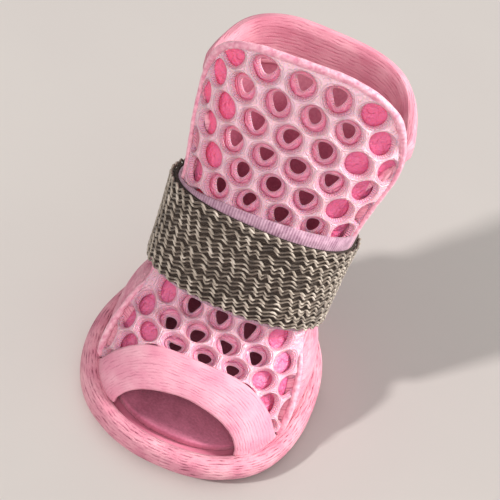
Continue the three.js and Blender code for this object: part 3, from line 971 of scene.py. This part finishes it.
# ---------------------------------------------------------------------------------------------
# Strap end. The free end of the elastic: a tab of brushed loop tape with hook tape under it, pressed
# on to the strap behind the ankle, with a row of stitches near each edge.
END_HALF, END_MARGIN = radians(34), 3.2
END_OUT, END_THICK = 1.8, 1.0
END_WIDTH, END_HEIGHT = 27.0, STRAP_HIGH - STRAP_LOW - 2 * END_MARGIN
END_CORNER = 2.2
LOOP_PITCH, LOOP_JITTER = 0.78, 0.25
LOOP_SIDE, LOOP_FOOT = 2.3, 2.2  # where the loops start, from the tab's corner
LOOP_HALF, LOOP_HIGH, LOOP_RADIUS = 0.34, 0.45, 0.075
STITCH_INSET, STITCH_LENGTH, STITCH_SPACE, STITCH_RADIUS = 1.1, 1.5, 0.7, 0.16

# Brushed loop tape: a dull dark pile, with brown fibres on top that catch some light.
tab_cloth, tree, shader = new_material("brushed loop tape, dark brown", Roughness=0.95, Sheen_Weight=0.15)
cloth = add(tree, "ShaderNodeUVMap", {"uv_map": "cloth"})
loops = add(tree, "ShaderNodeTexNoise", Vector=cloth, Scale=2.4, Detail=6.0, Roughness=0.8)
colour = add(tree, "ShaderNodeValToRGB", stops=((0.35, "#1c1411"), (0.7, "#5c4f46")), Fac=loops)
dents = add(tree, "ShaderNodeBump", Height=loops, Distance=0.5 * MM)
wire(shader, Base_Color=colour, Normal=dents)


def tab_point(x, y, out):
    """A point of the tab from its flat place in mm, which starts at one corner."""
    return on_strap(pi + END_HALF * (2 * x / END_WIDTH - 1), STRAP_LOW + END_MARGIN + y, END_OUT + out)


def rounded_corner(u, v):
    """Draws the corners of a flat sheet in, so that the tab's corners are cut round."""
    x, y = (2 * u - 1) * END_WIDTH / 2, (2 * v - 1) * END_HEIGHT / 2
    over_x, over_y = abs(x) - END_WIDTH / 2 + END_CORNER, abs(y) - END_HEIGHT / 2 + END_CORNER
    if over_x > 0 and over_y > 0:
        shrink = max(over_x, over_y) / sqrt(over_x**2 + over_y**2)
        x -= copysign(over_x * (1 - shrink), x)
        y -= copysign(over_y * (1 - shrink), y)
    return x + END_WIDTH / 2, y + END_HEIGHT / 2


sheet = lay(
    flat_sheet(54, 28), lambda u, v: tab_point(*rounded_corner(u, v), 0.0), (END_WIDTH, END_HEIGHT)
)
strap_end = make_piece("strap_end_tab", sheet, tab_cloth)
thicken(strap_end, END_THICK)
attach(strap_end, "root")
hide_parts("strap_end")

loops = []
for row in range(int((END_HEIGHT - 4) / LOOP_PITCH)):
    for column in range(int((END_WIDTH - 4) / LOOP_PITCH)):
        seed = Vector((row * 3.7, column * 2.3, 1.0))
        x = LOOP_SIDE + LOOP_PITCH * (column + 0.5 * (row % 2)) + LOOP_JITTER * noise.noise(seed)
        y = LOOP_FOOT + LOOP_PITCH * row + LOOP_JITTER * noise.noise(seed * 1.7)
        lean = 3.0 * noise.noise(seed * 2.9)
        loop = []
        for k in range(5):
            turn = pi * k / 4
            reach = LOOP_HALF * cos(turn)
            rise = LOOP_HIGH * sin(turn) - 0.05
            at = tab_point(x + reach * cos(lean), y + reach * sin(lean), rise)
            loop.append((at, 1.0))
        loops.append(loop)
tab_loops = tube("strap_end_loops", loops, LOOP_RADIUS, thread, sides=1)
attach(tab_loops, "root")
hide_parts("strap_end")

stitches = []
near, far, top = STITCH_INSET, END_WIDTH - STITCH_INSET, END_HEIGHT - STITCH_INSET
for start, end in (
    ((near + 1, near), (far - 1, near)), ((far, near + 1), (far, top - 1)),
    ((far - 1, top), (near + 1, top)), ((near, top - 1), (near, near + 1)),
):
    start, end = Vector((*start, 0)), Vector((*end, 0))
    count = round((end - start).length / (STITCH_LENGTH + STITCH_SPACE))
    for k in range(count):
        a = start.lerp(end, (k + 0.15) / count)
        b = start.lerp(end, (k + 0.85) / count)
        stitches.append([
            (tab_point(*a.lerp(b, part).xy, 0.12 - 0.9 * abs(part - 0.5) ** 3), size)
            for part, size in ((0.0, 0.8), (0.25, 1.0), (0.5, 1.1), (0.75, 1.0), (1.0, 0.8))
        ])
stitching = tube("strap_end_stitches", stitches, STITCH_RADIUS, pale_thread_and_highlight)
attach(stitching, "root")
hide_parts("strap_end")

# ---------------------------------------------------------------------------------------------
# Studio. A pale warm grey floor and a pale sky. A sun from the front left casts the boot's shadow on
# the floor alone; a soft lamp on the right and a wide, weaker one in front light the boot alone.
LOOK_AT = Vector((0, -1, 41)) * MM
CAMERA_AZIMUTH, CAMERA_ELEVATION, CAMERA_ROLL = radians(2), radians(44), radians(22)
CAMERA_DISTANCE = 0.300
CAMERA_LENS = 98.3
LAMP_DISTANCE = 0.6
SKY_STRENGTH = 0.62
FLOOR_HALF = 2.0

# Painted board: plain and matt, with a barely seen mottle.
floor_paint, tree, shader = new_material("matt warm grey floor", Roughness=0.9)
place = add(tree, "ShaderNodeTexCoord").outputs["Object"]
mottle = add(tree, "ShaderNodeTexNoise", Vector=place, Scale=12.0, Detail=3.0)
colour = add(tree, "ShaderNodeValToRGB", stops=((0.3, "#e0dbd8"), (0.7, "#e4e0dc")), Fac=mottle)
wire(shader, Base_Color=colour)
sheet = bmesh.new()
bmesh.ops.create_grid(sheet, x_segments=1, y_segments=1, size=FLOOR_HALF)
floor = make_piece("floor", sheet, floor_paint)
floor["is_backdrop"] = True

on_floor = bpy.data.collections.new("lit floor")
on_floor.objects.link(floor)
on_boot = bpy.data.collections.new("lit boot")
for piece in bpy.context.scene.objects:
    if piece.type in ("MESH", "CURVE") and piece != floor:
        on_boot.objects.link(piece)


def light(name, kind, direction, energy, size, colour, receivers):
    """A light that shines from a direction on its receivers alone. A sun's size is an angle."""
    lamp = bpy.data.lights.new(name, kind)
    lamp.energy, lamp.color = energy, linear(colour)[:3]
    if kind == "SUN":
        lamp.angle = size
    else:
        lamp.shape, lamp.size = "DISK", size
    holder = bpy.data.objects.new(name, lamp)
    away = Vector(direction).normalized()
    holder.location = LOOK_AT + away * LAMP_DISTANCE
    holder.rotation_euler = away.to_track_quat("Z", "Y").to_euler()
    bpy.context.scene.collection.objects.link(holder)
    holder.light_linking.receiver_collection = receivers


light("floor key", "SUN", (-0.75, -0.60, 0.62), 2.05, radians(4), "#fff9f5", on_floor)
light("boot key", "AREA", (0.85, 0.25, 0.75), 5.6, 0.16, "#fffaf4", on_boot)
light("boot fill", "AREA", (0.0, -0.9, 0.7), 2.4, 0.5, "#fff4f0", on_boot)
world = bpy.data.worlds.new("studio")
world.use_nodes = True
wire(world.node_tree.nodes["Background"], Color=linear("#f4f1ee"), Strength=SKY_STRENGTH)
bpy.context.scene.world = world
bpy.context.scene.view_settings.view_transform = "Standard"

camera = bpy.data.objects.new("camera", bpy.data.cameras.new("camera"))
camera.data.lens = CAMERA_LENS
camera.data.clip_start = 0.01
flat = Vector((sin(CAMERA_AZIMUTH), -cos(CAMERA_AZIMUTH), 0))
back = flat * cos(CAMERA_ELEVATION) + Vector((0, 0, sin(CAMERA_ELEVATION)))
right = Vector((cos(CAMERA_AZIMUTH), sin(CAMERA_AZIMUTH), 0))
up = back.cross(right)
rolled_right = right * cos(CAMERA_ROLL) + up * sin(CAMERA_ROLL)
rolled_up = up * cos(CAMERA_ROLL) - right * sin(CAMERA_ROLL)
camera.matrix_world = Matrix.Translation(LOOK_AT + back * CAMERA_DISTANCE) @ Matrix(
    (rolled_right, rolled_up, back)
).transposed().to_4x4()
bpy.context.scene.collection.objects.link(camera)
bpy.context.scene.camera = camera

low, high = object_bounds()
